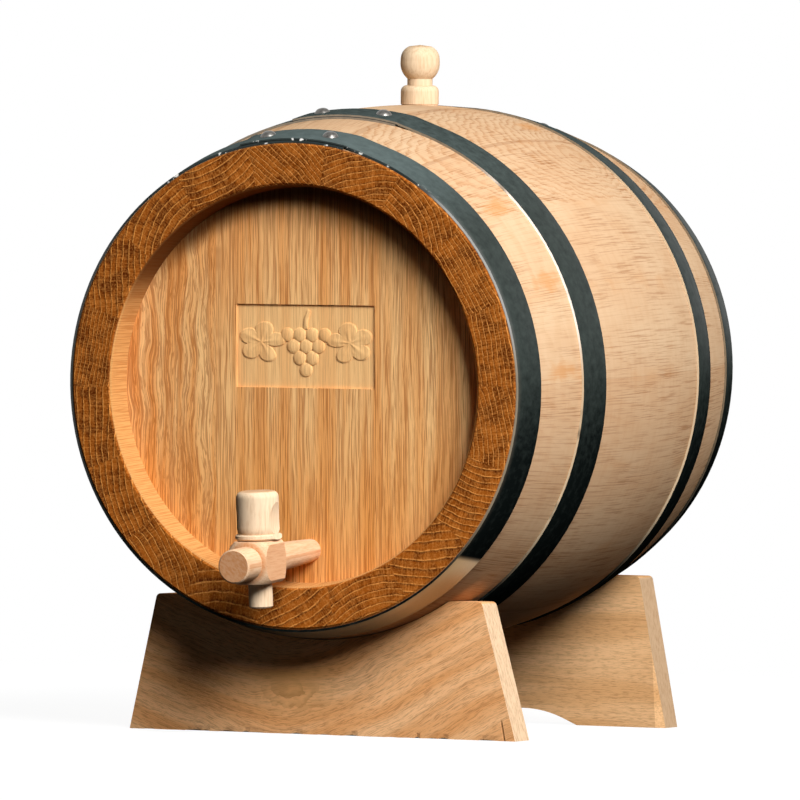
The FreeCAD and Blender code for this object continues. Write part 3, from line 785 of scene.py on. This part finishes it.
def heap(mesh, middle, outline, steps):
    """Adds a closed heap to a mesh: its outline, drawn about the middle, at each step's share of its
    width and height above the floor."""
    def corner(a, b, height):
        return mesh.verts.new(in_world(middle[0] + a, floor_level - height, middle[1] + b))

    rings = []
    for share, height in [(1.0, -SUNK)] + steps:
        rings.append([corner(a * share, b * share, height * tall) for a, b, tall in outline])
    top = corner(0.0, 0.0, steps[-1][1] + PEAK)
    count = len(outline)
    for low, high in zip(rings, rings[1:]):
        for n in range(count):
            mesh.faces.new((low[n], low[(n + 1) % count], high[(n + 1) % count], high[n]))
    for n in range(count):
        mesh.faces.new((rings[-1][n], rings[-1][(n + 1) % count], top))
    mesh.faces.new(list(reversed(rings[0])))


def round_outline(radius, count=20):
    """The points of a circle, each with its share of the height."""
    angles = [2 * math.pi * n / count for n in range(count)]
    return [(radius * math.cos(a), radius * math.sin(a), 1.0) for a in angles]


def leaf_outline(radius, turned, lobes=5, count=80):
    """A lobed leaf. The third number lowers the leaf between its veins and raises it along them."""
    points = []
    for n in range(count):
        a = 2 * math.pi * n / count
        lobe = abs(math.cos(lobes * a / 2))
        notch = 0.3 * math.exp(-((math.pi - a) / 0.25) ** 2)
        reach = radius * (0.62 + 0.38 * lobe ** 0.7 - notch)
        vein = 0.72 + 0.28 * lobe ** 6
        points.append((reach * math.cos(a + turned), 0.8 * reach * math.sin(a + turned), vein))
    return points


print("a leaf has", len(leaf_outline(1.0, 0.0)), "points")

# %% Berries, leaves and stalk
BERRY = 2.9
LEAF = 10.5
LEAF_STEPS = [(1.0, 0.3), (0.93, 0.55), (0.6, 0.7), (0.25, 0.62)]
STALK = [(-0.8, -3.6), (0.8, -3.6), (1.0, 0.0), (2.2, 3.4), (0.9, 4.2), (-0.7, 0.6)]
STALK_STEPS = [(1.0, 0.4), (0.6, 0.7)]

relief = bmesh.new()
dome = [(math.cos(math.radians(t)), 0.12 + 0.7 * math.sin(math.radians(t))) for t in (0, 25, 50, 72)]
for row, count in enumerate((4, 3, 2, 1)):
    for n in range(count):
        spot = (PANEL[0] + (n - (count - 1) / 2) * BERRY * 1.9, PANEL[1] + 4.6 - row * BERRY * 1.62)
        heap(relief, spot, round_outline(BERRY), dome)
for side in (-1, 1):
    leaf = leaf_outline(LEAF, math.radians(90 - side * 62))
    heap(relief, (PANEL[0] + side * 19.5, PANEL[1] + 1.5), leaf, LEAF_STEPS)
heap(relief, (PANEL[0], PANEL[1] + 10.6), [(a, b, 1.0) for a, b in STALK], STALK_STEPS)
bmesh.ops.recalc_face_normals(relief, faces=relief.faces)
relief_mesh = bpy.data.meshes.new("head_relief")
relief.to_mesh(relief_mesh)
relief.free()
head_relief = bpy.data.objects.new("head_relief", relief_mesh)
bpy.context.scene.collection.objects.link(head_relief)
relief_mesh.materials.append(head_oaks["front_head_board_2"])
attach(head_relief, "cask")
print("relief with", len(relief_mesh.polygons), "faces")

# %% [markdown]
# ## Hoops
#
# The hoops are strips of zinc-coated steel gone almost black. Their colour is painted lighter and
# green-grey where a surface looks up and darker below, painted light from above over a random
# mottle, with a painted sheen of sky on top. A mirror-like metal would show the white
# room all round the rim; a thin clear coat on dull steel catches only the lamp, which gives the
# short glints that a real strip has. The cut edges tell the four apart: the head hoop's is nearly
# black with a few painted glints, the others are rubbed brown, and on the right, where the lamp
# falls, they carry a painted glint. Where a strip laps over itself, a dark seam runs between its two
# layers. Low on the head hoop a patch is made metallic, so that it mirrors the floor, and its tan
# colour is a painted reflection of the wood there.

# %% Steel of the hoops
HOOP_GREY = tint(64, 72, 68)
HOOP_BLACK = tint(16, 21, 20)
SKY_SHEEN = tint(102, 115, 114)
HEAD_EDGE = tint(26, 26, 24)
BARE_EDGE = tint(150, 132, 108)
EDGE_GLINT = tint(250, 248, 242)
DIM_GLINT = tint(202, 182, 152)
REFLECTED_TAN = tint(178, 146, 104)

HOOP_STRIP = 0.9
LAP_MIDDLE, LAP_HALF = 1.5, 24.0
BULGE = BILGE - max(math.hypot(p.x, p.z) for p in places if abs(p.y) > HALF_LENGTH - 1.0)
BEND = (HALF_LENGTH ** 2 + BULGE ** 2) / (2 * BULGE)
print("the staves bend on a radius of %.0f mm" % BEND)

# %% The hoop finish
def hoop_steel(name):
    f = Finish(name)
    x, y, z = f.parts(cask_place(f))
    place = f.place(x, y, z)
    mottle = f.noise(place * 0.3, 4.0, 0.65)
    grit = f.noise(place * 1.5, 2.0)
    radius = (x * x + z * z) ** 0.5
    upward = z / radius
    at_head = 1.0 - f.rise(y, -97.0, -92.0)
    at_rear = f.rise(y, 85.0, 92.0)
    cut = f.rise(abs(facing(f, (0.0, math.cos(LEAN), math.sin(LEAN)))), 0.3, 0.7)

    # the flat of the strip, painted lighter where it looks up and darker below, with a painted sheen of
    # sky on top
    top_light_and_mottle = f.rise(upward, -0.4, 0.2) * 0.5 + (mottle - 0.5) * 0.9
    colour = f.blend(top_light_and_mottle, HOOP_BLACK, HOOP_GREY)
    colour = f.blend(f.rise(upward, 0.6, 1.0) * (at_head * 0.35 + mottle * 0.5), colour, SKY_SHEEN)

    # the cut edges, rubbed except at the bottom, with a painted glint on the right where the lamp falls
    rubbed = cut * f.rise(upward, -0.75, 0.1)
    colour = f.blend(rubbed * (0.3 + mottle * 0.7), colour, f.blend(at_head, BARE_EDGE, HEAD_EDGE))
    on_right = f.rise(upward, -0.8, -0.4) * (1.0 - f.rise(upward, 0.7, 0.86)) * f.rise(x, 0.0, 9.0)
    patchy = f.rise(f.noise(place * 0.06, 2.0), 0.28, 0.42)
    right_edge_glint = cut * on_right * patchy * (1.0 - at_rear) * (1.0 - at_head * 0.5)
    glint_colour = f.blend(f.rise(upward, 0.0, 0.3) * f.rise(y, 10.0, -10.0), DIM_GLINT, EDGE_GLINT)
    # painted glint: white at the front and up top, beige lower down and at the rear, only on the lit right
    # side
    colour = f.blend(right_edge_glint, colour, glint_colour)

    # the seam between the two layers of a lap, and painted glints along the top edge of the head hoop
    on_lap = cut * f.rise(abs(x - LAP_MIDDLE), LAP_HALF + 1.0, LAP_HALF - 1.0) * f.rise(upward, 0.8, 0.9)
    skin = (BEND * BEND - y * y) ** 0.5 - (BEND - BILGE)
    colour = f.blend(on_lap * f.rise(abs(radius - skin - HOOP_STRIP), 0.2, 0.1), colour, HOOP_BLACK)
    glint_spots = f.rise(f.noise(place * 0.4, 2.0), 0.6, 0.68)
    colour = f.blend(cut * at_head * f.rise(upward, 0.6, 0.85) * glint_spots, colour, EDGE_GLINT)

    # a metallic patch low on the head hoop, whose tan is a painted reflection of the wood
    mirror_patch = at_head * f.rise(upward, -0.665, -0.69) * f.rise(x, -35.0, 25.0)
    mirror_patch = mirror_patch * (1.0 - cut) * (f.rise(upward, -0.99, -0.86) * 0.6 + 0.4)
    colour = f.blend(mirror_patch * 0.9, colour, REFLECTED_TAN)

    shine = rubbed * (1.0 - at_head * f.rise(upward, 0.5, 0.8))
    sheen = f.rise(upward, -0.1, 0.3) * (1.0 - f.rise(upward, 0.55, 0.95)) * 0.2
    values = {"Base Color": colour, "Metallic": mirror_patch, "Roughness": 0.42 + grit * 0.12,
              "Coat Weight": f.maths("MAXIMUM", shine, sheen), "Coat Roughness": 0.16}
    return f.surface(values, grit * 0.02 + mottle * 0.1, 0.7)


steel = hoop_steel("hoop_steel")
for name in HOOPS:
    wear(name, steel)
print(len(HOOPS), "hoops")

# %% [markdown]
# ## Rivets
#
# The rivets are plain bright steel, hammered to a dome and rubbed since. Unlike the hoops they are
# finished as real metal, because a small dome mirrors the whole room, and that makes it sparkle.
# Fine specks, lighter and rougher by turns, keep it from looking new.

# %% The rivet finish
def rivet_steel(name):
    f = Finish(name)
    speck = f.noise(f.node("TexCoord", out="Object") * 900.0, 2.0)
    colour = f.blend(speck, tint(60, 58, 56), tint(136, 133, 128))
    values = {"Base Color": colour, "Roughness": 0.22 + speck * 0.2, "Metallic": 1.0}
    return f.surface(values, speck * 0.03, 1.0)


rivet_metal = rivet_steel("rivet_steel")
for name in HOOPS:
    wear(name.replace("hoop", "rivets"), rivet_metal)
print("rivets of", len(HOOPS), "laps")

# %% [markdown]
# ## Turned wood
#
# The tap is turned from a pinkish close-grained wood, its key and the bung from a creamy one. Such
# woods show straight fine lines along the turning and darker, speckled end grain, which is seen
# on the nose. Where a surface looks along the grain it is end grain, so one facing test tells the
# two apart. The flats sawn on the tap's block are darker than the turned parts, and a second
# facing test finds those.

# %% The turned finish
TURNED_PITH = (30.0, -40.0)
TURNED_GAP = 1.7


def turned_wood(name, light, dark, end_tone, along_y, seed):
    """along_y is whether the grain runs along the cask, as in the tap's body, or upright."""
    f = Finish(name)
    x, y, z = f.parts(cask_place(f))
    across, through, along = (x, z, y) if along_y else (x, y, z)
    grain = trunk(f, across, through, along, TURNED_PITH, (1.5, 0.2), seed)
    edge = abs(ring_age(f, grain, TURNED_GAP) - 0.5) * 2
    fleck = f.noise(grain * (1.9, 1.9, 0.16), 2.0, 0.6)
    broad = f.noise(grain * (0.2, 0.2, 0.06), 2.0)
    axis = (0.0, math.cos(LEAN), math.sin(LEAN)) if along_y else (0.0, -math.sin(LEAN), math.cos(LEAN))
    end_on = f.rise(abs(facing(f, axis)), 0.8, 0.95)
    tone = f.rise(fleck, 0.42, 0.7) * 0.45 + f.rise(edge, 0.5, 1.0) * 0.2 + f.rise(broad, 0.35, 0.7) * 0.25
    colour = f.blend(tone, light, dark)
    speckle = f.rise(f.noise(grain * (1.4, 0.5, 0.3), 2.0), 0.35, 0.65)
    flat = f.rise(abs(facing(f, (1.0, 0.0, 0.0))), 0.985, 0.998) * (0.45 if along_y else 0.0)
    colour = f.blend(flat, colour, end_tone)
    colour = f.blend(end_on * 0.9, colour, f.blend(speckle, end_tone, dark))
    return f.surface({"Base Color": colour, "Roughness": 0.55 + fleck * 0.1}, fleck * 0.03, 0.6)


print("turned finish ready")

# %% Tap, key, bung and dowels
PINK_WOOD = (tint(238, 200, 162), tint(208, 154, 112), tint(200, 134, 84))
CREAM_WOOD = (tint(244, 216, 182), tint(218, 182, 144), tint(196, 152, 110))
BUNG_WOOD = (tint(230, 204, 170), tint(204, 168, 130), tint(206, 172, 134))
PIN_WOOD = (tint(214, 176, 130), tint(176, 134, 90), tint(150, 108, 70))

wear("tap_body", turned_wood("tap_body_wood", *PINK_WOOD, along_y=True, seed=3.0))
wear("tap_key", turned_wood("tap_key_wood", *CREAM_WOOD, along_y=False, seed=11.0))
wear("bung", turned_wood("bung_wood", *BUNG_WOOD, along_y=False, seed=23.0))
pins = turned_wood("dowel_wood", *PIN_WOOD, along_y=True, seed=31.0)
for name in ("front_head_dowels", "rear_head_dowels"):
    wear(name, pins)
print("tap, key, bung and dowels done")

# %% [markdown]
# ## Blocks
#
# The two blocks are rough sawn oak. The front one was cut beside a small knot, and the grain dips
# towards it from both sides, so its lines are drawn on a height that is bent down near the
# knot before it goes into the noise. The knot itself is golden, and its gold is painted extra
# bright, a painted light where the cask's shadow falls on it. It has a few broken rings in its lower
# half, and a short split runs up from the lower right corner. The rear block is paler, with fine
# level grain and no knot. The sloping ends of both are end grain, pale and speckled.

# %% The block finish
KNOT = (-11.0, 19.0)
KNOT_REACH = 9.0
SPLIT_FOOT = 82.0
KNOT_LINE = tint(176, 104, 44)
KNOT_GOLD_AND_LIGHT = tint(255, 186, 112)


def block_oak(name, light, middle, dark, end_tone, dip, seed):
    """dip is how steeply the grain comes down to the knot on the left and on the right, 0 for a block
    without one."""
    f = Finish(name)
    x, y, z = f.parts(f.node("TexCoord", out="Object") * 1000.0)
    stray = f.noise(f.place(x * 0.5 + seed, y, z) * 0.045, 2.0) - 0.5
    ripple = f.noise(f.place(x + seed, y, z) * 0.16, 2.0) - 0.5

    # the knot, its broken rings and the dip towards it
    side = x - KNOT[0]
    high = z - KNOT[1]
    oval = side * side * 0.35 + high * high
    near = f.maths("EXPONENT", oval * (-1 / KNOT_REACH ** 2)) * dip[1]
    from_knot = (oval + 1.0) ** 0.5 + stray * 14.0 + ripple * 9.0
    ring = f.rise(f.maths("FRACT", from_knot / 4.2), 0.2, 1.0) * f.rise(high, 4.0, -4.0)
    steep = f.blend(f.rise(side, -12.0, 12.0), dip[0], dip[1])
    dipped = (side * side + 180.0) ** 0.5 * steep + near * 12.0
    level = z - dipped + stray * (3 + 6 * dip[1]) + ripple * 0.9

    # lines along the grain
    spot = f.place(level, y + seed, x)
    broad = f.noise(spot * (0.1, 0.1, 0.012), 2.0)
    streak = f.noise(spot * (1.0, 1.0, 0.04), 2.0, 0.6)
    hair = f.noise(spot * (2.4, 2.4, 0.24), 3.0, 0.65)
    colour = f.blend(f.rise(broad, 0.35, 0.65), light, middle)
    colour = f.blend(f.rise(streak, 0.5, 0.7) * 0.26, colour, dark)
    colour = f.blend(f.rise(hair, 0.48, 0.64) * 0.42, colour, dark)
    # painted light: the knot's own gold, made extra bright where the cask's shadow falls
    colour = f.blend(near * 1.3, colour, KNOT_GOLD_AND_LIGHT)
    colour = f.blend(near * ring, colour, KNOT_LINE)

    # the ends and the split
    end_on = f.rise(abs(facing(f, (1.0, 0.0, 0.0))), 0.6, 0.85)
    speckle = f.noise(f.place(x * 0.2, y, z * 0.22) * 1.3, 3.0, 0.6)
    pale = f.blend(f.rise(speckle, 0.42, 0.7) * 0.4, end_tone, dark)
    colour = f.blend(end_on, colour, pale)
    split = f.rise(abs(x + z * 0.2 - SPLIT_FOOT), 0.5, 0.15) * f.rise(z, 9.0, 6.0) * dip[1]
    colour = f.blend(split, colour, dark)
    relief = hair * -0.1 + speckle * end_on * 0.25 - split
    return f.surface({"Base Color": colour, "Roughness": 0.62 + hair * 0.1}, relief, 0.9)


FRONT_BLOCK = (tint(252, 198, 144), tint(234, 168, 108), tint(144, 86, 40), tint(240, 206, 168))
REAR_BLOCK = (tint(242, 194, 142), tint(224, 172, 118), tint(160, 112, 66), tint(208, 174, 138))
wear("cradle_front", block_oak("cradle_front_oak", *FRONT_BLOCK, dip=(0.36, 0.55), seed=5.0))
wear("cradle_rear", block_oak("cradle_rear_oak", *REAR_BLOCK, dip=(0.0, 0.0), seed=9.0))
print(len(BLOCKS), "blocks")
